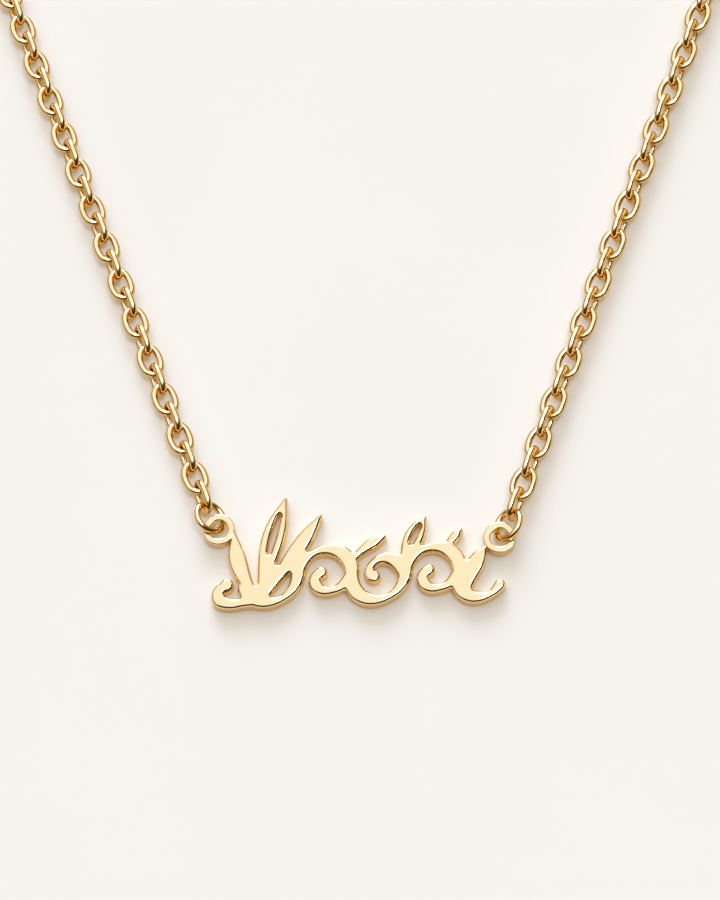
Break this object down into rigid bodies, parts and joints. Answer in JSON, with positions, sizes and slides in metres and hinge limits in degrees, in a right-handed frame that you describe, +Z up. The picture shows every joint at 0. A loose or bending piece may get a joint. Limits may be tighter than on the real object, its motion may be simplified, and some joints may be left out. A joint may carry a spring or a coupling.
{
  "type": "nameplate necklace",
  "caption": "Necklace of round-wire cable chain, closed by a spring ring, with a flat cut-out scroll plate held at its ends by eyelets and jump rings; shown lying flat.",
  "frame": {"origin": "centre of the necklace's box on the surface that it lies on", "axes": "+Z up from the surface, +Y from the plate towards the clasp, +X to the right of the plate's face"},
  "size_m": [0.1156, 0.1862, 0.0031],
  "materials": {
    "plate_gold": "mirror polished yellow gold, flat face with a fine bevel",
    "wire_gold": "polished yellow gold wire"
  },
  "bodies": {
    "root": {"nameplate": "plate_gold", "jump_ring_left": "wire_gold", "jump_ring_right": "wire_gold", "chain_left": "wire_gold", "chain_right": "wire_gold", "end_ring_left": "wire_gold", "end_ring_right": "wire_gold", "clasp": "wire_gold"}
  },
  "joints": []
}
